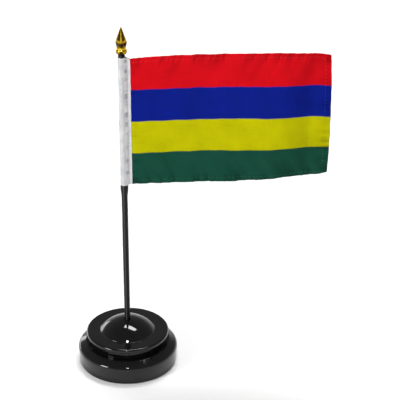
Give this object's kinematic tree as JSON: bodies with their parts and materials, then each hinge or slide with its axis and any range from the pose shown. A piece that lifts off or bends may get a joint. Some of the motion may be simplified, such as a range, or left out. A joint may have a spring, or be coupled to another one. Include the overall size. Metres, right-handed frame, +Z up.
{
  "type": "desk flag stand",
  "caption": "Miniature striped flag on a black plastic staff with a gilt spear finial; the staff lifts out of a round, stepped and domed weighted base, and the flag turns on the staff.",
  "frame": {"origin": "centre of the felt pad's underside, on the staff's axis", "axes": "+Z up along the staff, +X from the staff along the flag, +Y from the flag's front to its back"},
  "size_m": [0.1877, 0.0762, 0.2775],
  "materials": {
    "black_gloss": "high gloss black",
    "black_satin": "satin black",
    "iron": "raw",
    "felt": "black felt",
    "gilt": "metallised gold",
    "white_cloth": "white satin weave",
    "printed_cloth": "printed polyester, equal red, blue, yellow and green stripes",
    "sewing_thread": "matt thread"
  },
  "bodies": {
    "base": {"felt_pad": "felt", "bottom_plate": "black_satin", "ballast_ring": "iron", "base_body": "black_gloss", "base_cap": "black_gloss"},
    "staff": {"staff": "black_satin", "finial": "gilt"},
    "flag": {"pole_sleeve": "white_cloth", "flag_cloth": "printed_cloth", "sleeve_thread": "sewing_thread", "hem_thread": "sewing_thread"}
  },
  "joints": [
    {"name": "staff_pull", "type": "slide", "parent": "base", "child": "staff", "axis": [0, 0, 1], "range_m": [0, 0.05]},
    {"name": "flag_turn", "type": "hinge", "parent": "staff", "child": "flag", "pos_m": [0, 0, 0.2], "axis": [0, 0, 1], "continuous": true}
  ]
}
